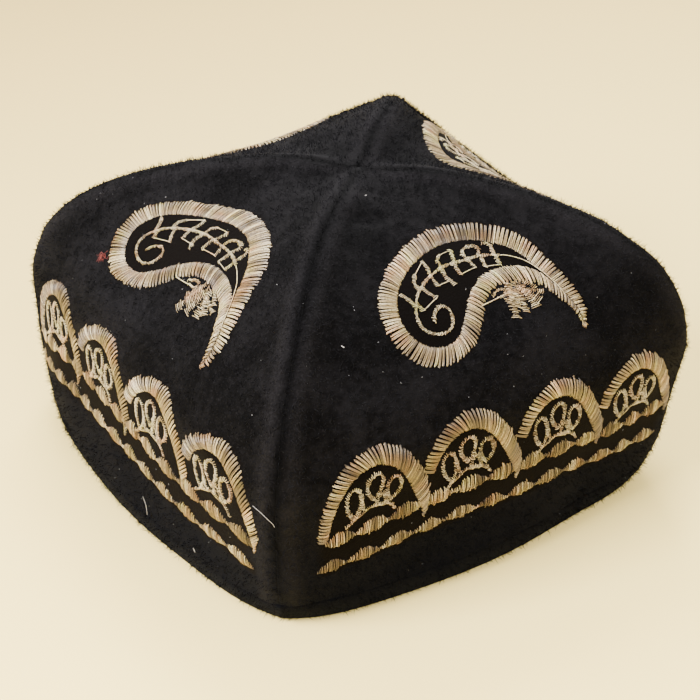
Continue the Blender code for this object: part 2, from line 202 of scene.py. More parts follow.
# One arch, from its left foot over the top to the right one, across from its middle
ARCH = tuple(Border(*row) for row in (
    (-18.0, 36.2, -15.4, 36.0), (-18.4, 40.4, -14.9, 39.8), (-18.3, 45.2, -14.4, 43.9),
    (-17.6, 49.8, -13.4, 47.9), (-16.2, 54.0, -11.7, 51.9), (-13.8, 57.6, -9.2, 55.2),
    (-10.6, 60.2, -6.4, 57.3), (-6.6, 62.2, -3.4, 58.3), (-2.0, 63.5, -0.6, 58.4),
    (2.2, 63.3, 2.0, 57.6), (6.0, 61.8, 4.6, 55.9), (9.4, 58.8, 7.4, 52.9),
    (12.2, 55.0, 9.8, 49.2), (14.8, 50.4, 11.9, 45.2), (17.1, 45.4, 13.8, 41.4),
    (18.3, 40.8, 15.6, 37.6), (17.9, 36.4, 16.6, 35.2), (16.8, 33.0, 16.6, 33.6),
))
CUT_ARCH = 3            # an arch that leans on the one before it starts this many rows later
# Rings of fine satin inside an arch, drawn round, and the plain lines that join them
ARCH_RINGS = (
    ((-7.2, 41.7), (-9.7, 45.6), (-10.4, 50.3), (-9.0, 52.8), (-7.2, 52.4), (-5.8, 49.4), (-5.6, 45.4),
     (-7.2, 41.7)),
    ((-1.6, 47.0), (-3.9, 50.4), (-4.2, 53.6), (-2.8, 55.7), (-0.9, 56.1), (0.5, 54.4), (0.6, 51.4),
     (-0.2, 48.6), (-1.6, 47.0)),
    ((4.6, 44.6), (2.8, 48.4), (2.7, 51.6), (3.9, 53.3), (5.7, 53.0), (7.2, 50.2), (6.9, 47.0), (4.6, 44.6)),
    ((-0.5, 44.6), (1.0, 48.8), (3.2, 44.0), (-0.5, 44.6)),
)
ARCH_LINES = (((-7.2, 41.7), (-4.8, 42.8), (-2.4, 44.4), (0.2, 44.1), (2.8, 43.9), (5.2, 42.5), (6.6, 40.4)),
              ((-7.2, 41.7), (-8.4, 40.4), (-9.8, 39.6)), ((-5.6, 49.0), (-4.4, 44.4)))

# The two rows of satin waves. A side's line gives the thin places of the lower row; the upper
# row follows it, moved by its shift and its rise.
Wave = namedtuple("Wave", "shift rise half_height thin belly")
WAVES = (Wave(2.0, 9.8, 2.9, 0.40, 0.6), Wave(0.0, 0.0, 2.4, 0.30, 0.8))
WAVE_PITCH = 0.50       # from one stitch to the next
WAVE_SLANT = -0.07
WAVE_LINES = {
    "front": ((-64.3, 24.5), (-54.6, 25.8), (-43.3, 26.6), (-31.9, 27.7), (-21.6, 28.3), (-9.5, 28.2),
              (1.9, 27.4), (13.5, 27.4), (25.3, 27.6), (36.1, 26.0), (47.7, 25.7), (56.3, 25.4),
              (68.9, 24.8)),
    "left": ((-64.8, 24.2), (-59.0, 25.1), (-47.0, 27.6), (-36.8, 28.2), (-27.2, 29.0), (-18.3, 29.1),
             (-8.0, 28.9), (2.2, 28.4), (10.9, 28.0), (20.8, 26.3), (31.0, 25.2), (43.3, 24.9),
             (56.0, 25.4), (68.0, 24.6)),
    "right": ((-66.0, 24.0), (-54.8, 25.4), (-43.5, 26.5), (-32.4, 27.4), (-21.2, 28.0), (-10.0, 28.2),
              (1.3, 28.3), (12.4, 28.0), (23.7, 27.6), (34.8, 27.0), (46.0, 26.0), (57.2, 25.0),
              (67.4, 23.8)),
    "back": ((-67.0, 23.6), (-56.0, 25.0), (-44.8, 26.0), (-33.5, 27.0), (-22.4, 27.8), (-11.2, 28.2),
             (0.0, 28.4), (11.1, 28.1), (22.4, 27.8), (33.4, 26.9), (44.8, 26.2), (56.0, 25.2), (66.6, 24.0)),
}

# How each side's almond lies: moved, drawn out from its middle, and turned
Lie = namedtuple("Lie", "move_across move_up stretch tilt")
LIES = {
    "front": Lie(0.0, 0.0, 1.00, 0.00),
    "left": Lie(-0.6, -1.0, 1.22, -0.02),
    "right": Lie(-1.0, 7.5, 1.00, 0.00),
    "back": Lie(0.0, -5.0, 1.00, 0.00),
}
# Each side's four arches: where their middles lie, how far their tops lean across, and how
# much lower they stand
Arch = namedtuple("Arch", "middle lean drop")
ROWS_OF_ARCHES = {
    "front": (Arch(-46.4, 0.2, 0.6), Arch(-13.0, -3.4, 0.0), Arch(20.6, -3.4, 0.4), Arch(54.4, -4.2, 1.8)),
    "left": (Arch(-46.2, 3.8, 1.5), Arch(-13.0, 4.4, 0.0), Arch(19.6, 4.4, 0.3), Arch(52.6, 4.0, 1.4)),
    "right": (Arch(-49.0, 0.0, 1.6), Arch(-15.6, 0.0, 0.0), Arch(17.8, 0.0, 0.0), Arch(51.2, 0.0, 1.2)),
    "back": (Arch(-50.0, 0.6, 1.2), Arch(-16.6, -0.5, 0.2), Arch(16.8, 0.4, 0.0), Arch(50.4, 0.0, 1.5)),
}
ARCH_FOOT = 38.0
ARCH_HEIGHT = 25.5

# Bits of lint and loose fibres on the plush, as lines on one side's cloth
Lint = namedtuple("Lint", "side thick places")
LINT = (
    Lint("left", 0.55, ((14.8, 17.5), (16.2, 15.0), (16.6, 11.6))),
    Lint("left", 0.45, ((71.4, 51.0), (74.0, 50.6), (76.4, 49.0), (78.6, 47.0))),
    Lint("front", 1.1, ((-46.7, 92.2), (-46.1, 91.4))),
    Lint("front", 0.9, ((-9.6, 144.6), (-9.0, 144.2))),
    Lint("left", 0.6, ((40.0, 14.4), (40.8, 13.2))),
    Lint("right", 0.5, ((-20.0, 80.0), (-17.0, 82.0), (-15.5, 85.0))),
    Lint("back", 0.5, ((8.0, 70.0), (11.0, 69.0), (13.0, 71.0))),
)
DUST_SPECKS = 220
FLUFF_THREADS = 26
FLUFF_THICK = 0.32
FLUFF = Lint("left", FLUFF_THICK, ((-35.2, 77.6),))

# Thread
TOOTH = 1.25            # millimetres between neighbouring teeth of a satin border
TOOTH_LEGS = (-0.37, -0.17, 0.11, 0.32)
TOOTH_GATHER = 0.52     # how much closer the threads of a tooth lie at the outer edge
THREAD_RADIUS = 0.000125
THREAD_SIDES = 4
PUFF = 0.00055          # how high the satin stands at its middle
LINT_LIFT = 0.0009      # how high lint and dust lie over the cloth
DUST_LIFT = 0.0007

# Plush
SWELLS = 14             # long soft waves that together make the cloth uneven
SWELL_LENGTHS = (0.018, 0.050)
SWELL_HEIGHT = 0.00007
SEAM_FLATTENED = 0.004  # the swells fade out this close to a seam
FOOT_SHARE = 0.12       # how far up a side, as a share, the thicker pile of its foot reaches
PILE = 0.0006           # how far the plush stands out from its cloth
PILE_FOOT = 0.0012      # and just above the hem
SEAM_HIGHLIGHT_AWAY = 0.0042      # the strips beside a seam that get a painted highlight
SEAM_HIGHLIGHT_HALF_WIDTH = 0.0024
SEAM_HIGHLIGHT = 0.42
# painted shade in a seam's groove: how wide it is, and how strong
GROOVE_HALF_WIDTH = 0.0013
SEAM_SHADE = 0.60
SEAM_FILLED = 0.50      # the share of a seam's depth that the pile leaves open
# Each plush: its shade between the hairs, brushed up, at the foot (painted shade, darker and bluer towards
# the floor against its warm bounced light) and pressed down, and its sheen
VELVETS = (
    ("black_velvet", ((0.0010, 0.0009, 0.0011), (0.0042, 0.0039, 0.0045), (0.0004, 0.0008, 0.0026),
                      (0.0012, 0.0007, 0.0005), 0.0155)),
    ("hem_velvet", ((0.0008, 0.0009, 0.0012), (0.0026, 0.0026, 0.0034), (0.0004, 0.0008, 0.0026),
                    (0.0005, 0.0005, 0.0006), 0.015)),
    ("velvet_hairs", ((0.0018, 0.0018, 0.0022), (0.0050, 0.0048, 0.0058), (0.0008, 0.0009, 0.0012),
                      (0.0014, 0.0013, 0.0015), 0.022)),
)
# Thread from its darkest shade to its lightest
SILK_SHADES = ((0.30, (0.050, 0.032, 0.016)), (0.52, (0.145, 0.098, 0.046)), (0.70, (0.255, 0.180, 0.082)),
               (0.86, (0.380, 0.285, 0.140)), (1.0, (0.620, 0.525, 0.320)))
HAIRS = {"Hairs Per Square Metre": 6.5e5, "Hair Radius": 0.00012, "Shortest": 0.0005, "Longest": 0.0026,
         "Tilt": 1.0}


def smooth_curve(xs, ys, x):
    """Curve through (xs, ys) that never overshoots, read at x. ys may have several columns."""
    xs = np.asarray(xs, float)
    ys = np.asarray(ys, float)
    x = np.atleast_1d(np.asarray(x, float))
    step = np.diff(xs)[:, None]
    rise = np.diff(ys, axis=0) / step
    slope = np.zeros_like(ys)
    same_way = rise[:-1] * rise[1:] > 0
    before = 2 * step[1:] + step[:-1]
    after = step[1:] + 2 * step[:-1]
    safe = np.where(same_way, rise[:-1], 1.0), np.where(same_way, rise[1:], 1.0)
    mean = (before + after) / (before / safe[0] + after / safe[1])
    slope[1:-1] = np.where(same_way, mean, 0.0)
    slope[0] = rise[0]
    slope[-1] = rise[-1]
    k = np.clip(np.searchsorted(xs, x, side="right") - 1, 0, len(xs) - 2)
    width = step[k]
    s = ((x - xs[k])[:, None]) / width
    return (ys[k] * (1 + 2 * s) * (1 - s) ** 2 + slope[k] * width * s * (1 - s) ** 2
            + ys[k + 1] * s * s * (3 - 2 * s) + slope[k + 1] * width * s * s * (s - 1))


def section_at(way):
    """Sizes of the section at each way, in metres, one row for each value."""
    table = np.array([row[1:] for row in SECTIONS])
    scale = np.array([HEIGHT, HALF_WIDTH, HEIGHT, HALF_WIDTH, 1.0])
    return smooth_curve([row.way for row in SECTIONS], table * scale, way)


def drawn_in(reach, inset, least):
    """The reach of the cloth's inner side, which never quite closes at the tip."""
    reach = np.maximum(reach, least)
    return np.maximum(reach * reach / (reach + inset), least)


def side_points(way, u, wall=0.0):
    """Points of the -Y side at (way, u), before the dents. wall is how far they lie inside."""
    corner_z, corner, side_z, middle, roundness = section_at(way).T
    over = np.clip((way - WALL_TURNS) / (CROWN_FLAT - WALL_TURNS), 0.0, 1.0) * math.pi / 2
    inset = wall * np.cos(over)
    drop = wall * np.sin(over)
    corner = drawn_in(corner, inset, TIP)
    middle = drawn_in(middle, inset, TIP)
    bow = corner + (middle - corner) * (1 - np.abs(u) ** roundness)
    height = side_z + (corner_z - side_z) * u * u - drop
    return np.stack([corner * u, -bow, height], axis=-1)


def turned(points, quarter_turns):
    """Points turned about Z by whole quarter turns."""
    x, y = points[..., 0], points[..., 1]
    for _ in range(quarter_turns):
        x, y = -y, x
    return np.stack([x, y, points[..., 2]], axis=-1)


def settled(points):
    """The turned side pulled out of square and pushed by the dents."""
    x = points[..., 0] + points[..., 1] * SKEW
    y = points[..., 1] + points[..., 0] * SKEW
    out = np.stack([x, y, points[..., 2]], axis=-1)
    moved = out.copy()
    for dent in DENTS:
        centre = np.array([dent.x, dent.y, dent.z]) * HALF_WIDTH
        push = np.array([dent.push_x, dent.push_y, dent.push_z]) * HALF_WIDTH
        far = ((out - centre) ** 2).sum(axis=-1) / (dent.reach * HALF_WIDTH) ** 2
        moved += np.exp(-far)[..., None] * push
    return moved + np.array([MIDDLE_X, MIDDLE_Y, 0.0])


def cap_points(way, u, side, wall=0.0):
    """Points of one side of the finished form, without its folds."""
    way, u = np.broadcast_arrays(np.asarray(way, float), np.asarray(u, float))
    points = side_points(way.ravel(), u.ravel(), wall)
    return settled(turned(points, side)).reshape(way.shape + (3,))


def facing(way, u, side):
    """Unit normals of one side of the outer form, by small steps along it and up it."""
    step = 0.004
    u = np.clip(u, -1 + step, 1 - step)
    way = np.clip(way, 0.0, 0.985)
    along = cap_points(way, u + step, side) - cap_points(way, u - step, side)
    up = cap_points(way + step, u, side) - cap_points(way, u, side)
    normal = np.cross(along, up)
    return normal / np.linalg.norm(normal, axis=-1, keepdims=True)


def bell(distance, half_width):
    """1 at no distance, falling smoothly to nothing by about twice the half width."""
    return np.exp(-(distance / half_width) ** 2)


def corner_reach(way):
    """How far the corner stands from the middle, along X, at each way."""
    return section_at(way.ravel())[:, 1].reshape(way.shape)


def outward(way, u, side):
    """Unit normals that turn, beside a seam, to the middle between its two sides."""
    own = facing(way, u, side)
    at_seam = facing(way, np.where(u < 0, -1.0, 1.0), side)
    other = np.where(u < 0, 1.0, -1.0)
    beyond = np.where(u[..., None] < 0, facing(way, other, (side + 3) % 4),
                      facing(way, other, (side + 1) % 4))
    near = bell((1 - np.abs(u)) * corner_reach(way), SEAM_BLEND)[..., None]
    normal = own * (1 - near) + (at_seam + beyond) * near / 2
    return normal / np.linalg.norm(normal, axis=-1, keepdims=True)


def soft_swell(points, side):
    """Small uneven swells of soft cloth, the same each time."""
    chance = np.random.default_rng(40 + side)
    out = np.zeros(points.shape[:-1])
    for _ in range(SWELLS):
        wave = chance.normal(size=3)
        wave *= 2 * math.pi / chance.uniform(*SWELL_LENGTHS) / np.linalg.norm(wave)
        out += np.sin(points @ wave + chance.uniform(0, 2 * math.pi))
    return out * SWELL_HEIGHT


def relief(way, u, side, points):
    """How far the folds, the seams and the swells move the cloth outward at each point."""
    from_seam = (1 - np.abs(u)) * corner_reach(way)
    hem_way = SECTIONS[1].way
    fade = np.clip((1 - way) / SEAM_FADE_CROWN, 0.0, 1.0)
    fade = fade * np.clip((way - hem_way) / SEAM_FADE_HEM, 0.35, 1.0)
    out = -SEAM_DEPTH * SEAM_FILLED * bell(from_seam, SEAM_HALF_WIDTH)
    out += PUFF_HEIGHT * bell(from_seam - PUFF_AWAY, PUFF_HALF_WIDTH)
    out *= fade
    for fold in FOLDS:
        if fold.side != SIDES[side]:
            continue
        ends = cap_points(np.array([fold.way, fold.end_way]), np.array([fold.u, fold.end_u]), side)
        run = ends[1] - ends[0]
        share = np.clip(((points - ends[0]) @ run) / (run @ run), 0.0, 1.0)
        middle = cap_points(fold.way + share * (fold.end_way - fold.way),
                            fold.u + share * (fold.end_u - fold.u), side)
        away = np.linalg.norm(points - middle, axis=-1)
        out -= fold.depth * bell(away, fold.half_width) * np.sin(math.pi * (0.12 + 0.76 * share))
    inward = np.clip(from_seam / SEAM_FLATTENED, 0.0, 1.0)
    return out + soft_swell(points, side) * inward


def seam_painted_light(way, u):
    """Painted light at a seam: a painted highlight on the strips beside it, and painted shade in its groove.
    """
    from_seam = (1 - np.abs(u)) * corner_reach(way)
    fade = np.clip((1 - way) / SEAM_FADE_CROWN, 0.0, 1.0)
    # painted highlight on the strips beside the seam, fading out at the crown
    lit = bell(from_seam - SEAM_HIGHLIGHT_AWAY, SEAM_HIGHLIGHT_HALF_WIDTH) * fade
    return SEAM_HIGHLIGHT * lit, SEAM_SHADE * bell(from_seam, GROOVE_HALF_WIDTH)


def cloth_surface(way, u, side):
    """The finished outer face of the cloth and its outward direction."""
    way, u = np.broadcast_arrays(np.asarray(way, float), np.asarray(u, float))
    points = cap_points(way, u, side)
    out = outward(way, u, side)
    low = np.clip(1 - (way - SECTIONS[1].way) / FOOT_SHARE, 0.0, 1.0) ** 2
    pile = PILE + (PILE_FOOT - PILE) * low
    return points + (relief(way, u, side, points) + pile)[..., None] * out, out


# Flat cloth: for places on a fine grid of (way, u), how far they lie across and up
GRID_WAYS = np.linspace(0.0, 1.0, 201)
GRID_U = np.linspace(-1.0, 1.0, 161)


def measure_cloth():
    """Distances in millimetres over an undented side: up along each column, across each row."""
    way = np.repeat(GRID_WAYS[:, None], len(GRID_U), axis=1)
    u = np.repeat(GRID_U[None, :], len(GRID_WAYS), axis=0)
    points = side_points(way.ravel(), u.ravel()).reshape(way.shape + (3,))
    up = np.zeros(way.shape)
    up[1:] = np.cumsum(np.linalg.norm(np.diff(points, axis=0), axis=2), axis=0)
    across = np.zeros(way.shape)
    across[:, 1:] = np.cumsum(np.linalg.norm(np.diff(points, axis=1), axis=2), axis=1)
    across -= across[:, len(GRID_U) // 2][:, None]
    return across / MM, up / MM


def chart_tables():
    """For a millimetre grid of flat places, the (way, u) that lies there."""
    across, up = measure_cloth()
    flat_across = np.arange(-84, 85)
    flat_up = np.arange(0, 166)
    u = np.clip(flat_across[None, :] / 76.0, -1, 1) * np.ones((len(flat_up), 1))
    way = flat_up[:, None] / up[-1, len(GRID_U) // 2] * np.ones((1, len(flat_across)))
    for _ in range(7):
        column = np.clip((u + 1) / 2 * (len(GRID_U) - 1), 0, len(GRID_U) - 1.001)
        low = column.astype(int)
        part = column - low
        for j in range(len(flat_across)):
            for i in range(len(flat_up)):
                k = low[i, j]
                line = up[:, k] * (1 - part[i, j]) + up[:, k + 1] * part[i, j]
                way[i, j] = np.interp(flat_up[i], line, GRID_WAYS)
        row = np.clip(way * (len(GRID_WAYS) - 1), 0, len(GRID_WAYS) - 1.001)
        low = row.astype(int)
        part = (row - low)[..., None]
        lines = across[low] * (1 - part) + across[low + 1] * part
        for i in range(len(flat_up)):
            for j in range(len(flat_across)):
                u[i, j] = np.interp(flat_across[j], lines[i, j], GRID_U)
    return flat_across, flat_up, way, u


FLAT_ACROSS, FLAT_UP, FLAT_WAY, FLAT_U = chart_tables()


def read_tables(tables, row, column):
    """Values of some tables at places between their rows and columns."""
    shape = tables[0].shape
    row = np.clip(row, 0, shape[0] - 1.001)
    column = np.clip(column, 0, shape[1] - 1.001)
    i, j = row.astype(int), column.astype(int)
    b, a = row - i, column - j
    return [(table[i, j] * (1 - a) + table[i, j + 1] * a) * (1 - b)
            + (table[i + 1, j] * (1 - a) + table[i + 1, j + 1] * a) * b for table in tables]


def lay_flat(flat):
    """(way, u) of flat places, given in millimetres as rows of (across, up)."""
    return read_tables((FLAT_WAY, FLAT_U), flat[..., 1] - FLAT_UP[0], flat[..., 0] - FLAT_ACROSS[0])


def flat_of(way, u):
    """Flat places, in millimetres, of points given as (way, u)."""
    row = way * (len(GRID_WAYS) - 1)
    column = (u + 1) / 2 * (len(GRID_U) - 1)
    return np.stack(read_tables(measure_cloth(), row, column), axis=-1)


def through(points, count):
    """A smooth line through the points, as count places evenly spaced along it."""
    points = np.asarray(points, float)
    if len(points) > 2:
        ends = [2 * points[0] - points[1], 2 * points[-1] - points[-2]]
        p = np.vstack([ends[0][None], points, ends[1][None]])
        t = np.linspace(0, 1, 13)[:-1][:, None]
        parts = []
        for k in range(len(points) - 1):
            a, b, c, d = p[k:k + 4]
            parts.append(0.5 * ((2 * b) + (c - a) * t + (2 * a - 5 * b + 4 * c - d) * t ** 2
                                + (3 * b - a - 3 * c + d) * t ** 3))
        points = np.vstack(parts + [points[-1][None]])
    along = np.r_[0, np.cumsum(np.linalg.norm(np.diff(points[:, :2], axis=0), axis=1))]
    places = np.linspace(0, along[-1], count)
    return np.stack([np.interp(places, along, points[:, k]) for k in range(points.shape[1])], 1)


def length_of(points):
    """Length of a line of points."""
    return float(np.linalg.norm(np.diff(np.asarray(points, float)[:, :2], axis=0), axis=1).sum())


class Needlework:
    """The threads of one side: places on its flat cloth, height over it, tone and thickness."""

    def __init__(self, seed):
        self.chance = np.random.default_rng(seed)
        self.flat, self.lift, self.tone, self.thick, self.starts = [], [], [], [], [0]

    def thread(self, places, lifts, tone, thick=1.0):
        """One thread through the places."""
        n = len(places)
        self.flat.extend(places)
        self.lift.extend(lifts)
        self.tone.extend([tone] * n)
        self.thick.extend([thick] * n)
        self.starts.append(len(self.flat))

    def stitch(self, a, b, tone, thick=1.0, puff=PUFF):
        """One satin stitch from a to b, which plunges into the cloth at both ends."""
        a, b = np.asarray(a), np.asarray(b)
        shares, lifts = (0.0, 0.12, 0.5, 0.88, 1.0), (-0.35, 0.62, 1.0, 0.62, -0.35)
        if np.linalg.norm(b - a) < 2.2:
            shares, lifts = (0.0, 0.25, 0.75, 1.0), (-0.3, 0.85, 0.85, -0.3)
        self.thread([a + (b - a) * s for s in shares], [puff * v for v in lifts], tone, thick)

    def satin(self, rows, tone=0.5):
        """Satin between two edges: fine stitches that gather into teeth at the outer edge."""
        count = max(3, int(round(length_of(rows) / TOOTH)))
        parts = 12
        fine = through(rows, count * parts + 1)
        drift = 0.0
        for k in range(count):
            drift = 0.75 * drift + self.chance.normal() * 0.06
            middle = k + 0.5 + self.chance.uniform(-0.10, 0.10)
            over = self.chance.normal() * 0.20 + (0.5 if self.chance.random() < 0.06 else 0.0)
            for leg in TOOTH_LEGS:
                inner = fine[int(np.clip((middle + leg) * parts, 0, len(fine) - 1)), 2:]
                gathered = middle + leg * TOOTH_GATHER
                outer = fine[int(np.clip(gathered * parts, 0, len(fine) - 1)), :2]
                reach = outer - inner
                size = np.linalg.norm(reach)
                if size < 0.5:
                    continue
                outer = outer + reach / size * (over + self.chance.normal() * 0.16)
                inner = inner - reach / size * self.chance.normal() * 0.16
                shade = tone + drift + self.chance.normal() * 0.19
                self.stitch(inner, outer, shade, self.chance.uniform(0.78, 1.15),
                            PUFF * self.chance.uniform(0.7, 1.15))

    def zigzag(self, line, half_width=0.44, pitch=0.54, tone=0.80, thick=0.78, flare=1.0):
        """Narrow satin along a line, which widens towards its end by the flare."""
        line = np.asarray(line, float)
        count = max(3, int(round(length_of(through(line, 40)) / pitch)))
        path = through(line, count + 1)
        run = np.gradient(path, axis=0)
        run /= np.linalg.norm(run, axis=1)[:, None] + 1e-9
        across = np.stack([-run[:, 1], run[:, 0]], 1)
        wide = half_width * self.chance.uniform(0.50, 1.45, (len(path), 1))
        wide *= np.linspace(1 / flare, 1.0, len(path))[:, None]
        slant = run * 0.26 + self.chance.normal(size=path.shape) * 0.09
        for a, b in zip(path + across * wide + slant, path - across * wide - slant):
            shade = tone + self.chance.normal() * 0.20
            self.stitch(a, b, shade, thick * self.chance.uniform(0.8, 1.2), PUFF * 0.7)

    def run(self, line, tone=0.80, thick=0.95, lift=0.00030):
        """A plain thread lying on the cloth."""
        line = np.asarray(line, float)
        count = max(3, int(round(length_of(line) / 1.0)) + 1)
        path = through(line, count)
        lifts = np.full(len(path), lift)
        lifts[0] = lifts[-1] = -0.0001
        self.thread(list(path), list(lifts), tone, thick)

    def wave(self, line, wave, tone=0.42):
        """A row of satin waves: upright stitches that grow and shrink between the thin places."""
        drift = 0.0
        for a, b in zip(line[:-1], line[1:]):
            count = int(round((b[0] - a[0]) / WAVE_PITCH))
            for k in range(count):
                share = (k + 0.5) / count
                swell = math.sin(math.pi * share) ** 1.25
                tall = wave.thin + (wave.half_height - wave.thin) * swell
                tall *= self.chance.uniform(0.78, 1.14)
                drift = 0.85 * drift + self.chance.normal() * 0.07
                across = a[0] + (b[0] - a[0]) * share + wave.shift
                up = a[1] + (b[1] - a[1]) * share + wave.rise + wave.belly * swell
                up += self.chance.normal() * 0.16
                lean = WAVE_SLANT * tall
                low = np.array([across - lean + self.chance.normal() * 0.09, up - tall])
                high = np.array([across + lean + self.chance.normal() * 0.09, up + tall])
                shade = tone + drift + self.chance.normal() * 0.20
                self.stitch(low, high, shade, self.chance.uniform(0.8, 1.2), PUFF * (0.5 + 0.5 * swell))


def laid(points, lie):
    """Places of the almond as they lie on one side's cloth."""
    points = np.array(points, float)
    pivot, level = 9.0, 98.0
    for column in range(0, points.shape[1], 2):
        x, y = points[:, column].copy(), points[:, column + 1].copy()
        points[:, column] = pivot + (x - pivot) * lie.stretch + lie.move_across - (y - level) * lie.tilt
        points[:, column + 1] = y + (x - pivot) * lie.tilt + lie.move_up
    return points


def stood(points, arch):
    """Places of an arch as it stands in its row."""
    points = np.array(points, float)
    for column in range(0, points.shape[1], 2):
        tall = np.clip((points[:, column + 1] - ARCH_FOOT) / ARCH_HEIGHT, 0.0, 1.2)
        points[:, column] += arch.middle + arch.lean * tall
        points[:, column + 1] -= arch.drop
    return points


def embroider(side):
    """All the threads of one side."""
    lie = LIES[SIDES[side]]
    work = Needlework(100 + side)
    chance = work.chance
    for wave in WAVES:
        work.wave(WAVE_LINES[SIDES[side]], wave)
    almond = laid(ALMOND, lie)
    cuts = np.linspace(0, len(almond) - 1, 11).astype(int)
    for a, b in zip(cuts[:-1], cuts[1:]):
        work.satin(almond[a:b + 1], 0.50 + chance.uniform(-0.12, 0.12))
    work.zigzag(laid(STEM, lie))
    work.run(laid(STEM_THREAD, lie))
    for leaf in LEAVES:
        work.zigzag(laid(leaf, lie), 0.58)
    for line in LEAF_THREADS:
        work.run(laid(line, lie))
    for petal in FLOWER:
        ends = laid([petal[0:2], petal[2:4]], lie)
        work.zigzag(ends, petal.half_width, 0.60, 0.62, 1.0, 1.6)
    work.run(laid(FLOWER_THREAD, lie), 1.0, 1.5)
    for line in FLOWER_LINES:
        work.zigzag(laid(line, lie), 0.36)
    for k, arch in enumerate(ROWS_OF_ARCHES[SIDES[side]]):
        rows = stood(ARCH if k == 0 else ARCH[CUT_ARCH:], arch)
        for part in np.array_split(np.arange(len(rows)), 3):
            last = min(part[-1] + 2, len(rows))
            work.satin(rows[part[0]:last], 0.39 + chance.uniform(-0.12, 0.12))
        for ring in ARCH_RINGS:
            work.zigzag(stood(ring, arch), 0.62, 0.54, 0.72)
        for line in ARCH_LINES:
            work.zigzag(stood(line, arch), 0.46, 0.54, 0.70)
    return work


def inside(points, outline):
    """Which flat places lie inside a closed outline."""
    x, y = points[..., 0], points[..., 1]
    result = np.zeros(x.shape, bool)
    previous = outline[-1]
    for place in outline:
        crosses = (place[1] > y) != (previous[1] > y)
        rise = previous[1] - place[1]
        at = (previous[0] - place[0]) * (y - place[1]) / (rise if rise else 1e-9) + place[0]
        result ^= crosses & (x < at)
        previous = place
    return result


def worked_mask(way, u, side):
    """1 where the pile is pressed down by embroidery, and 0 on free plush."""
    flat = flat_of(way, u)
    out = inside(flat, laid(ALMOND, LIES[SIDES[side]])[:, :2])
    for arch in ROWS_OF_ARCHES[SIDES[side]]:
        out |= inside(flat, stood(ARCH, arch)[:, :2])
    line = np.array(WAVE_LINES[SIDES[side]])
    foot = np.interp(flat[..., 0], line[:, 0], line[:, 1]) - WAVES[1].half_height
    top = foot + WAVES[0].rise + 2 * WAVES[0].half_height
    out |= ((flat[..., 1] < top) & (flat[..., 1] > foot)
            & (flat[..., 0] > line[0, 0]) & (flat[..., 0] < line[-1, 0]))
    return out.astype(float)


def new_mesh(name, points, faces, materials, smooth=True):
    """A mesh object from arrays."""
    data = bpy.data.meshes.new(name)
    data.from_pydata([tuple(p) for p in points], [], [tuple(int(v) for v in f) for f in faces])
    data.update()
    for material in materials:
        data.materials.append(material)
    if smooth:
        data.shade_smooth()
    thing = bpy.data.objects.new(name, data)
    bpy.context.scene.collection.objects.link(thing)
    return thing


def point_values(thing, name, values):
    """A number for each point of a mesh, under a name that materials and trees can read."""
    layer = thing.data.attributes.new(name, "FLOAT", "POINT")
    layer.data.foreach_set("value", np.asarray(values, np.float32).ravel())


def shell(name, outer, inner, closed, materials):
    """A closed wall between two grids of points, the outer face first in its materials."""
    rows, columns = outer.shape[:2]
    count = rows * columns
    last = columns if closed else columns - 1
    r, c = np.meshgrid(np.arange(rows - 1), np.arange(last), indexing="ij")
    d = (c + 1) % columns
    at = lambda row, column, layer: row * columns + column + layer * count
    outside = np.stack([at(r, c, 0), at(r, d, 0), at(r + 1, d, 0), at(r + 1, c, 0)], -1).reshape(-1, 4)
    within = np.stack([at(r, d, 1), at(r, c, 1), at(r + 1, c, 1), at(r + 1, d, 1)], -1).reshape(-1, 4)
    c = np.arange(last)
    d = (c + 1) % columns
    low = np.stack([at(0, d, 0), at(0, c, 0), at(0, c, 1), at(0, d, 1)], -1)
    high = np.stack([at(rows - 1, c, 0), at(rows - 1, d, 0), at(rows - 1, d, 1), at(rows - 1, c, 1)], -1)
    faces = [outside, within, low, high]
    kinds = [0] * len(outside) + [1] * len(within) + [0] * (len(low) + len(high))
    if not closed:
        r = np.arange(rows - 1)
        e = columns - 1
        faces.append(np.stack([at(r, 0, 0), at(r + 1, 0, 0), at(r + 1, 0, 1), at(r, 0, 1)], -1))
        faces.append(np.stack([at(r + 1, e, 0), at(r, e, 0), at(r, e, 1), at(r + 1, e, 1)], -1))
        kinds += [0] * (2 * len(r))
    points = np.concatenate([outer.reshape(-1, 3), inner.reshape(-1, 3)])
    thing = new_mesh(name, points, np.concatenate(faces), materials)
    thing.data.polygons.foreach_set("material_index", np.array(kinds, np.int32))
    outside_share = np.zeros(len(points))
    outside_share[:count] = 1.0
    point_values(thing, "outside", outside_share)
    return thing


def gore_columns(way):
    """The columns of a gore at one way: fine beside the seams."""
    corner = max(float(section_at(way)[0, 1]), 0.0006)
    beside = [1 - min(away / corner, 0.045 * k) for k, away in enumerate(SEAM_COLUMNS)]
    inner = list(np.linspace(-beside[-1], beside[-1], MIDDLE_COLUMNS + 1)[1:-1])
    return np.array([-v for v in beside] + inner + beside[::-1])


def rim_way(height):
    """The way at which a side's middle reaches a height near the rim."""
    ways = np.linspace(0.0, 0.2, 201)
    return np.interp(height, section_at(ways)[:, 2], ways)


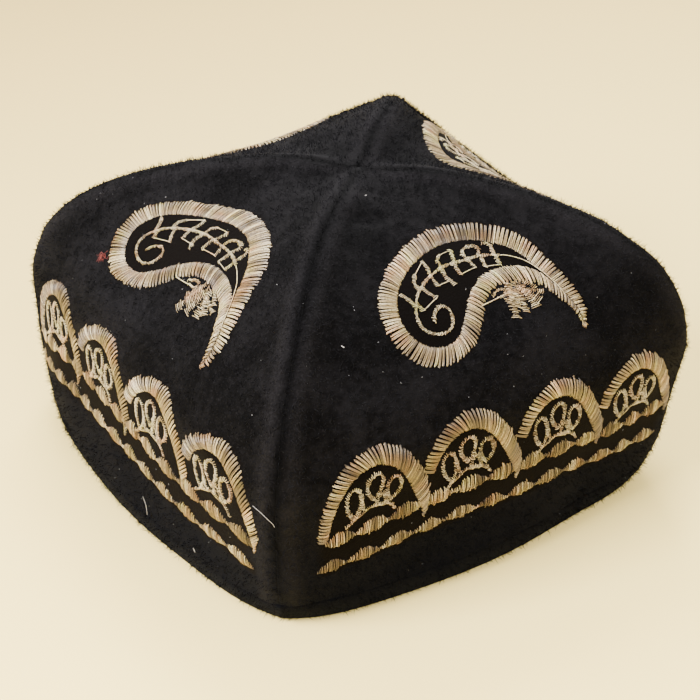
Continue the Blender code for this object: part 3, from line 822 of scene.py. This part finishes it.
def make_gore(side, materials):
    """One plush gore, from the hem to the middle of the crown."""
    first = rim_way(HEM_HEIGHT - GORE_LAP)
    ways = first + (1 - first) * np.r_[0.0, EDGE_ROW, np.linspace(0, 1, ROWS + 1)[1:]]
    u = np.array([gore_columns(way) for way in ways])
    way = np.repeat(ways[:, None], u.shape[1], axis=1)
    outer, out = cloth_surface(way, u, side)
    inner = cap_points(way, u, side, WALL)
    lift = relief(way, u, side, cap_points(way, u, side))
    inner = inner + (lift * 0.7)[..., None] * out
    gore = shell("plush_" + SIDES[side], outer, inner, False, materials)
    # painted highlight beside the seams and painted shade in their grooves, for the velvet's colour
    lit, dark = seam_painted_light(way, u)
    for name, values in (("worked", worked_mask(way, u, side)), ("seam_lit", lit), ("seam_painted_shade", dark)):
        point_values(gore, name, np.concatenate([values.ravel(), np.zeros(values.size)]))
    return gore


def make_hem(materials):
    """The turned hem: a soft doubled edge, whose top draws back under the gores."""
    u = np.sin(np.linspace(-1, 1, HEM_COLUMNS + 1)[:-1] * math.pi / 2)
    grids = []
    for within in (False, True):
        rows = []
        for height, bulge in HEM_PROFILE:
            way = np.full_like(u, rim_way(HEM_HEIGHT * height))
            tucked = -HEM_WALL * bulge
            wall = HEM_WALL - 0.15 * tucked if within else tucked
            row = np.concatenate([cap_points(way, u, side, wall) for side in range(4)])
            row[:, 2] = HEM_HEIGHT * height
            rows.append(row)
        grids.append(np.array(rows))
    hem = shell("hem_plush", grids[0], grids[1], True, materials)
    point_values(hem, "worked", [vertex.co.z < HEM_BARE for vertex in hem.data.vertices])
    return hem


def run_tree(source, tree, values, name):
    """The plain mesh that a node tree makes from the source object."""
    modifier = source.modifiers.new("work", "NODES")
    modifier.node_group = tree
    for socket in tree.interface.items_tree:
        if socket.item_type == "SOCKET" and socket.in_out == "INPUT" and socket.name in values:
            modifier[socket.identifier] = values[socket.name]
    graph = bpy.context.evaluated_depsgraph_get()
    data = bpy.data.meshes.new_from_object(source.evaluated_get(graph), depsgraph=graph)
    source.modifiers.remove(modifier)
    data.name = name
    made = bpy.data.objects.new(name, data)
    bpy.context.scene.collection.objects.link(made)
    return made


def set_inputs(tree, node, takes):
    """Gives a node's inputs, by name or by number, a value or a socket to link to."""
    for label, value in takes.items():
        if isinstance(label, int):
            socket = node.inputs[label]
        else:
            socket = [s for s in node.inputs if s.name == label and s.enabled][0]
        if isinstance(value, bpy.types.NodeSocket):
            tree.links.new(value, socket)
        else:
            socket.default_value = value


def add_node(tree, kind, takes, **settings):
    """A new node with its settings and what its inputs take."""
    node = tree.nodes.new(kind)
    for name, value in settings.items():
        setattr(node, name, value)
    set_inputs(tree, node, takes)
    return node


def new_tree(name, inputs):
    """A geometry node tree with named inputs, what it is given and its output node."""
    tree = bpy.data.node_groups.new(name, "GeometryNodeTree")
    tree.interface.new_socket("Geometry", in_out="INPUT", socket_type="NodeSocketGeometry")
    for label, kind, value in inputs:
        socket = tree.interface.new_socket(label, in_out="INPUT", socket_type=kind)
        if value is not None:
            socket.default_value = value
    tree.interface.new_socket("Geometry", in_out="OUTPUT", socket_type="NodeSocketGeometry")
    return tree, tree.nodes.new("NodeGroupInput").outputs, tree.nodes.new("NodeGroupOutput")


def finish_tree(tree, shape, material, result):
    """Ends a tree: the shape as a plain mesh in its material."""
    real = add_node(tree, "GeometryNodeRealizeInstances", {"Geometry": shape})
    finish = add_node(tree, "GeometryNodeSetMaterial", {
        "Geometry": real.outputs["Geometry"], "Material": material})
    tree.links.new(finish.outputs["Geometry"], result.inputs["Geometry"])
    return tree


def reckon(tree, operation, a, b, c=0.0):
    """The result of a sum, whose parts are values or sockets."""
    clamped = operation == "SUBTRACT"
    node = add_node(tree, "ShaderNodeMath", {0: a, 1: b, 2: c}, operation=operation, use_clamp=clamped)
    return node.outputs[0]


def named(tree, label):
    """The socket of a named attribute in a geometry tree."""
    node = add_node(tree, "GeometryNodeInputNamedAttribute", {"Name": label}, data_type="FLOAT")
    return node.outputs["Attribute"]


def thread_tree():
    """Turns lines of points into round sewn threads."""
    tree, given, result = new_tree("sewn_threads", (
        ("Thread Radius", "NodeSocketFloat", THREAD_RADIUS), ("Thread Sides", "NodeSocketInt", THREAD_SIDES),
        ("Thread", "NodeSocketMaterial", None)))
    line = add_node(tree, "GeometryNodeMeshToCurve", {"Mesh": given["Geometry"]})
    size = reckon(tree, "MULTIPLY", named(tree, "thick"), given["Thread Radius"])
    radius = add_node(tree, "GeometryNodeSetCurveRadius", {"Curve": line.outputs["Curve"], "Radius": size})
    ring = add_node(tree, "GeometryNodeCurvePrimitiveCircle", {
        "Resolution": given["Thread Sides"], "Radius": 1.0})
    body = add_node(tree, "GeometryNodeCurveToMesh", {
        "Curve": radius.outputs["Curve"], "Profile Curve": ring.outputs["Curve"], "Fill Caps": True})
    if "Scale" in body.inputs:
        kept = tree.nodes.new("GeometryNodeInputRadius")
        tree.links.new(kept.outputs["Radius"], body.inputs["Scale"])
    smooth = add_node(tree, "GeometryNodeSetShadeSmooth", {"Geometry": body.outputs["Mesh"]})
    return finish_tree(tree, smooth.outputs["Geometry"], given["Thread"], result)


def pile_tree():
    """Sets short loose hairs on the free plush of a piece."""
    tree, given, result = new_tree("loose_pile", (
        ("Hairs Per Square Metre", "NodeSocketFloat", 6.5e5), ("Hair Radius", "NodeSocketFloat", 0.00012),
        ("Shortest", "NodeSocketFloat", 0.0005), ("Longest", "NodeSocketFloat", 0.0026),
        ("Tilt", "NodeSocketFloat", 1.0), ("Clump Scale", "NodeSocketFloat", 420.0),
        ("Seed", "NodeSocketInt", 7), ("Pile", "NodeSocketMaterial", None)))
    clump = add_node(tree, "ShaderNodeTexNoise", {"Detail": 1.0, "Scale": given["Clump Scale"]})
    thicker = add_node(tree, "ShaderNodeMapRange", {
        "From Min": 0.44, "From Max": 0.64, "To Min": 0.25, "To Max": 2.2, "Value": clump.outputs[0]})
    free = reckon(tree, "SUBTRACT", named(tree, "outside"), named(tree, "worked"))
    clumped = reckon(tree, "MULTIPLY", free, thicker.outputs["Result"])
    density = reckon(tree, "MULTIPLY", clumped, given["Hairs Per Square Metre"])
    scatter = add_node(tree, "GeometryNodeDistributePointsOnFaces", {
        "Mesh": given["Geometry"], "Density": density, "Seed": given["Seed"]})
    hair = add_node(tree, "GeometryNodeMeshCone", {
        "Vertices": 3, "Radius Bottom": 1.0, "Radius Top": 0.0, "Depth": 1.0})
    less = reckon(tree, "MULTIPLY", given["Tilt"], -1.0)
    most = add_node(tree, "ShaderNodeCombineXYZ", {"X": given["Tilt"], "Y": given["Tilt"], "Z": 3.1})
    least = add_node(tree, "ShaderNodeCombineXYZ", {"X": less, "Y": less, "Z": -3.1})
    lean = add_node(tree, "FunctionNodeRandomValue", {
        "Min": least.outputs[0], "Max": most.outputs[0], "Seed": given["Seed"]}, data_type="FLOAT_VECTOR")
    turn = add_node(tree, "FunctionNodeEulerToRotation", {0: lean.outputs["Value"]})
    rotate = add_node(tree, "FunctionNodeRotateRotation", {
        "Rotation": scatter.outputs["Rotation"], "Rotate By": turn.outputs[0]}, rotation_space="LOCAL")
    tall = add_node(tree, "FunctionNodeRandomValue", {
        "Min": given["Shortest"], "Max": given["Longest"], "Seed": given["Seed"]}, data_type="FLOAT")
    height = [s for s in tall.outputs if s.enabled][0]
    size = add_node(tree, "ShaderNodeCombineXYZ", {
        "X": given["Hair Radius"], "Y": given["Hair Radius"], "Z": height})
    place = add_node(tree, "GeometryNodeInstanceOnPoints", {
        "Points": scatter.outputs["Points"], "Instance": hair.outputs["Mesh"],
        "Rotation": rotate.outputs[0], "Scale": size.outputs[0]})
    return finish_tree(tree, place.outputs["Instances"], given["Pile"], result)


def make_stitches(side, tree, thread):
    """The embroidery of one side as round threads on its plush."""
    work = embroider(side)
    way, u = lay_flat(np.array(work.flat))
    points, out = cloth_surface(way, u, side)
    points = points + out * np.array(work.lift)[:, None]
    edges = []
    for a, b in zip(work.starts[:-1], work.starts[1:]):
        edges.extend((k, k + 1) for k in range(a, b - 1))
    name = "stitching_" + SIDES[side]
    return lines_to_threads(name, points, edges, work.tone, work.thick, tree, thread)


def lines_to_threads(name, points, edges, tone, thick, tree, material):
    """Round threads along lines of points."""
    data = bpy.data.meshes.new("lines")
    data.from_pydata([tuple(p) for p in points], edges, [])
    source = bpy.data.objects.new("lines", data)
    bpy.context.scene.collection.objects.link(source)
    point_values(source, "tone", tone)
    point_values(source, "thick", thick)
    values = {"Thread Radius": THREAD_RADIUS, "Thread Sides": THREAD_SIDES, "Thread": material}
    made = run_tree(source, tree, values, name)
    bpy.data.objects.remove(source)
    return made


def make_hairs(piece, tree, pile, seed, name):
    """Loose hairs of the pile of one piece. None of them goes below the floor."""
    hairs = run_tree(piece, tree, {**HAIRS, "Seed": seed, "Pile": pile}, name)
    points = np.empty(len(hairs.data.vertices) * 3, np.float32)
    hairs.data.vertices.foreach_get("co", points)
    points[2::3] = np.maximum(points[2::3], 0.0)
    hairs.data.vertices.foreach_set("co", points)
    return hairs


def loose_threads(name, lines, tree, material):
    """Threads that lie loose on the plush, from (side, places, height over the cloth, thickness)."""
    points, edges, thick = [], [], []
    for side, places, lift, width in lines:
        way, u = lay_flat(places)
        on, out = cloth_surface(way, u, side)
        edges.extend((len(points) + k, len(points) + k + 1) for k in range(len(on) - 1))
        points.extend(on + out * lift)
        thick.extend([width] * len(on))
    return lines_to_threads(name, points, edges, thick, thick, tree, material)


def make_lint(tree, fibre):
    """Loose fibres and specks of lint on the cap."""
    lines = [(SIDES.index(lint.side), through(lint.places, 9), LINT_LIFT, lint.thick) for lint in LINT]
    return loose_threads("loose_fibres", lines, tree, fibre)


def make_dust(tree, fibre):
    """Tiny pale specks of dust, scattered over the sides."""
    chance = np.random.default_rng(9)
    lines = []
    for _ in range(DUST_SPECKS):
        start = np.array([chance.uniform(-62, 62), chance.uniform(8, 112)])
        places = through(np.array([start, start + chance.normal(size=2) * 0.22]), 3)
        lines.append((int(chance.integers(4)), places, DUST_LIFT, chance.uniform(0.35, 0.8)))
    return loose_threads("dust_specks", lines, tree, fibre)


def make_tuft(tree, fluff):
    """A small knot of reddish fluff caught in the plush."""
    chance = np.random.default_rng(5)
    lines = []
    for _ in range(FLUFF_THREADS):
        start = np.array(FLUFF.places[0]) + chance.normal(size=2) * 0.5
        middle = start + chance.normal(size=2) * 0.7
        end = start + chance.normal(size=2) * 1.3
        places = through(np.array([start, middle, end]), 6)
        lines.append((SIDES.index(FLUFF.side), places, chance.uniform(0.0004, 0.0014), FLUFF_THICK))
    return loose_threads("reddish_fluff", lines, tree, fluff)


def shader_group(name, inputs, outputs):
    """A shader node group with named numbers in and out, what it is given and its output node."""
    group = bpy.data.node_groups.new(name, "ShaderNodeTree")
    for label, value in inputs:
        socket = group.interface.new_socket(label, in_out="INPUT", socket_type="NodeSocketFloat")
        socket.default_value = value
    for label in outputs:
        group.interface.new_socket(label, in_out="OUTPUT", socket_type="NodeSocketFloat")
    return group, group.nodes.new("NodeGroupInput").outputs, group.nodes.new("NodeGroupOutput")


def own_place(tree):
    """The socket of each point's own place in the cap's frame."""
    return tree.nodes.new("ShaderNodeTexCoord").outputs["Object"]


def cloud(tree, place, scale, detail, roughness=0.55):
    """A soft noise, as the socket that gives it."""
    takes = {"Vector": place, "Scale": scale, "Detail": detail, "Roughness": roughness}
    return add_node(tree, "ShaderNodeTexNoise", takes).outputs["Fac"]


def pile_group():
    """Uneven nap of plush: where it is brushed up, its grain, and how near it is to the foot, which masks a
    painted shade.
    """
    group, given, result = shader_group(
        "plush_nap",
        (("Grain Scale", 1600.0), ("Patch Scale", 45.0), ("Tuft Scale", 380.0), ("Foot Height", 0.060)),
        ("Brushed", "Grain", "Foot"))
    place = own_place(group)
    grain = cloud(group, place, given["Grain Scale"], 3.0, 0.7)
    patch = cloud(group, place, given["Patch Scale"], 5.0, 0.6)
    tuft = cloud(group, place, given["Tuft Scale"], 2.0, 0.6)
    brushed = spread(group, reckon(group, "MULTIPLY_ADD", tuft, 0.6, patch), 0.70, 0.98)
    height = add_node(group, "ShaderNodeSeparateXYZ", {"Vector": place}).outputs["Z"]
    foot = add_node(group, "ShaderNodeMapRange", {
        "Value": height, "From Max": given["Foot Height"], "To Min": 1.0, "To Max": 0.0}).outputs["Result"]
    for label, socket in (("Brushed", brushed), ("Grain", grain), ("Foot", foot)):
        group.links.new(socket, result.inputs[label])
    return group


def new_material(name):
    """A material and its node tree."""
    material = bpy.data.materials.new(name)
    material.use_nodes = True
    return material, material.node_tree


def surfaced(material, takes, height=None, strength=0.0, distance=0.0):
    """Gives the surface shader what it takes, and fine bumps where there is a height for them."""
    tree = material.node_tree
    if height:
        bump = add_node(tree, "ShaderNodeBump", {
            "Height": height, "Strength": strength, "Distance": distance})
        takes["Normal"] = bump.outputs["Normal"]
    set_inputs(tree, tree.nodes["Principled BSDF"], takes)
    return material


def blended(tree, mask, a, b, kind="MIX"):
    """A colour that goes from a to b by the mask. a and b are colours or sockets."""
    a, b = ((*v, 1.0) if isinstance(v, tuple) else v for v in (a, b))
    mix = add_node(tree, "ShaderNodeMix", {"Factor": mask, "A": a, "B": b}, data_type="RGBA", blend_type=kind)
    return [s for s in mix.outputs if s.enabled][0]


def attribute(tree, name):
    """The socket of a named attribute's number."""
    return add_node(tree, "ShaderNodeAttribute", {}, attribute_name=name).outputs["Fac"]


def spread(tree, value, low, high, most=1.0):
    """A value drawn out so that low gives nothing and high gives the most."""
    takes = {"Value": value, "From Min": low, "From Max": high, "To Max": most}
    return add_node(tree, "ShaderNodeMapRange", takes).outputs["Result"]


def plush_material(name, nap, deep, lifted, foot, pressed, sheen):
    """Black velvet: deep between the hairs and greyer where brushed up, with a painted highlight beside each
    seam, painted shade in its groove and painted shade at the foot.
    """
    material, tree = new_material(name)
    pile = add_node(tree, "ShaderNodeGroup", {}, node_tree=nap).outputs
    shade = blended(tree, pile["Brushed"], deep, lifted)
    specks = spread(tree, pile["Grain"], 0.56, 0.80)
    shade = blended(tree, specks, shade, tuple(2.4 * v for v in lifted))
    # painted shade: the plush goes darker and bluer towards the floor, against the warm light bounced off it
    shade = blended(tree, pile["Foot"], shade, foot)
    # painted highlight beside each seam, made uneven by the grain
    uneven = spread(tree, pile["Grain"], 0.34, 0.66)
    painted_highlight = blended(tree, uneven, lifted, tuple(3.0 * v for v in lifted))
    shade = blended(tree, attribute(tree, "seam_lit"), shade, painted_highlight)
    # painted shade in the seam's groove
    shade = blended(tree, attribute(tree, "seam_painted_shade"), shade, (0.0002, 0.0002, 0.0003))
    shade = blended(tree, attribute(tree, "worked"), shade, pressed)
    takes = {"Base Color": shade, "Roughness": 0.92, "Specular IOR Level": 0.03, "Sheen Weight": sheen,
             "Sheen Roughness": 0.45, "Sheen Tint": (0.68, 0.69, 0.76, 1.0)}
    return surfaced(material, takes, pile["Grain"], 0.6, 0.0006)


def thread_material():
    """Silky embroidery thread in uneven gold, beige and cream."""
    material, tree = new_material("silk_thread")
    place = own_place(tree)
    fibre = cloud(tree, place, 2600.0, 2.0)
    total = reckon(tree, "MULTIPLY_ADD", cloud(tree, place, 55.0, 2.0), 0.45, attribute(tree, "tone"))
    ramp = add_node(tree, "ShaderNodeValToRGB", {"Fac": total})
    band = ramp.color_ramp
    while len(band.elements) < len(SILK_SHADES):
        band.elements.new(0.5)
    for element, (position, colour) in zip(band.elements, SILK_SHADES):
        element.position = position
        element.color = (*colour, 1.0)
    pink = spread(tree, cloud(tree, place, 120.0, 2.0), 0.50, 0.66)
    shade = blended(tree, pink, ramp.outputs["Color"], (1.0, 0.76, 0.70), "MULTIPLY")
    green = spread(tree, cloud(tree, place, 170.0, 2.0), 0.54, 0.68)
    shade = blended(tree, green, shade, (0.92, 1.0, 0.66), "MULTIPLY")
    shade = blended(tree, spread(tree, fibre, 0.46, 0.66, 0.80), shade, (0.034, 0.022, 0.013))
    takes = {"Base Color": shade, "Roughness": 0.34, "Specular IOR Level": 0.6}
    return surfaced(material, takes, fibre, 0.5, 0.0001)


def backing_material():
    """Plain dark cotton on the inside, with its fine weave."""
    material, tree = new_material("cotton_backing")
    place = own_place(tree)
    ribs = [add_node(tree, "ShaderNodeTexWave", {"Vector": place, "Scale": 900.0, "Distortion": 1.5},
                     bands_direction=axis).outputs["Fac"] for axis in ("X", "Z")]
    weave = reckon(tree, "MULTIPLY", ribs[0], ribs[1])
    shade = blended(tree, weave, (0.012, 0.011, 0.012), (0.035, 0.032, 0.033))
    takes = {"Base Color": shade, "Roughness": 0.9, "Specular IOR Level": 0.2}
    return surfaced(material, takes, weave, 0.4, 0.0002)


def plain_material(name, colour, roughness):
    """One colour, slightly mottled."""
    material, tree = new_material(name)
    mottle = cloud(tree, own_place(tree), 30.0, 3.0)
    shade = blended(tree, mottle, colour, tuple(0.9 * v for v in colour))
    return surfaced(material, {"Base Color": shade, "Roughness": roughness})


def add_floor():
    """A plain pale floor, which a painted shade darkens a little towards the back."""
    half = 3.0
    corners = [(-half, -half, 0), (half, -half, 0), (half, half, 0), (-half, half, 0)]
    material, tree = new_material("floor_pale")
    place = own_place(tree)
    back = add_node(tree, "ShaderNodeSeparateXYZ", {"Vector": place}).outputs["Y"]
    # painted shade: the floor darker and browner towards the back, where the lamps' light falls off
    shade = blended(tree, spread(tree, back, -0.10, 0.55), (1.0, 0.79, 0.27), (0.32, 0.21, 0.060))
    shade = blended(tree, cloud(tree, place, 12.0, 3.0), shade, (0.97, 0.97, 0.97), "MULTIPLY")
    surfaced(material, {"Base Color": shade, "Roughness": 0.85, "Specular IOR Level": 0.2})
    floor = new_mesh("floor", corners, [(0, 1, 2, 3)], [material], False)


def add_camera():
    """The camera, turned round the middle of the cap as the photo sees it."""
    azimuth, elevation, roll = (math.radians(v) for v in (-36.19, 31.44, 3.22))
    distance, lens = 0.6145, 97.83
    target = Vector((MIDDLE_X, MIDDLE_Y, 0.050))
    level = math.cos(elevation)
    back = Vector((math.sin(azimuth) * level, -math.cos(azimuth) * level, math.sin(elevation)))
    right = Vector((math.cos(azimuth), math.sin(azimuth), 0.0))
    up = back.cross(right)
    right, up = right * math.cos(roll) + up * math.sin(roll), up * math.cos(roll) - right * math.sin(roll)
    data = bpy.data.cameras.new("camera")
    data.lens = lens
    data.sensor_width = 36.0
    data.shift_y = -0.0647
    data.clip_start = 0.01
    data.clip_end = 20.0
    camera = bpy.data.objects.new("camera", data)
    where = target + back * distance
    camera.matrix_world = Matrix(((right.x, up.x, back.x, where.x), (right.y, up.y, back.y, where.y),
                                  (right.z, up.z, back.z, where.z), (0, 0, 0, 1)))
    bpy.context.scene.collection.objects.link(camera)
    bpy.context.scene.camera = camera


def add_light(name, where, size, power, colour):
    """One soft square lamp, aimed at the middle of the cap."""
    data = bpy.data.lights.new(name, "AREA")
    data.shape = "SQUARE"
    data.size = size
    data.energy = power
    data.color = colour
    lamp = bpy.data.objects.new(name, data)
    lamp.location = where
    lamp.rotation_mode = "QUATERNION"
    lamp.rotation_quaternion = (Vector((0, 0, 0.05)) - Vector(where)).to_track_quat("-Z", "Y")
    bpy.context.scene.collection.objects.link(lamp)


def add_world():
    """Even pale light from all round."""
    world = bpy.data.worlds.new("studio")
    world.use_nodes = True
    ground = world.node_tree.nodes["Background"]
    ground.inputs["Color"].default_value = (1.0, 0.95, 0.86, 1.0)
    ground.inputs["Strength"].default_value = 1.70
    bpy.context.scene.world = world


nap = pile_group()
velvet, hem_velvet, loose_velvet = (plush_material(name, nap, *looks) for name, looks in VELVETS)
backing = backing_material()
silk = thread_material()
sewn = thread_tree()
loose = pile_tree()

for number, name in enumerate(SIDES):
    gore = make_gore(number, [velvet, backing])
    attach(gore, "root")
    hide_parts("panel_" + name)
    stitches = make_stitches(number, sewn, silk)
    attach(stitches, "root")
    fuzz = make_hairs(gore, loose, loose_velvet, 11 + number, "pile_" + name)
    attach(fuzz, "root")

lint = make_lint(sewn, plain_material("pale_fibre", (0.42, 0.40, 0.39), 0.6))
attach(lint, "root")
dust = make_dust(sewn, plain_material("grey_dust", (0.16, 0.16, 0.17), 0.7))
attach(dust, "root")
fluff = make_tuft(sewn, plain_material("red_fluff", (0.16, 0.020, 0.015), 0.8))
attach(fluff, "root")

hem = make_hem([hem_velvet, hem_velvet])
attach(hem, "root")
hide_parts("hem_band")
fuzz = make_hairs(hem, loose, loose_velvet, 20, "pile_hem")
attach(fuzz, "root")

add_floor()
add_camera()
add_world()
add_light("key", (-0.95, -0.02, 0.80), 0.50, 54.0, (1.0, 0.98, 0.96))
add_light("front", (-0.20, -0.90, 0.90), 0.50, 10.5, (1.0, 0.97, 0.93))
add_light("top", (0.35, 0.80, 1.00), 0.60, 33.0, (1.0, 0.98, 0.96))
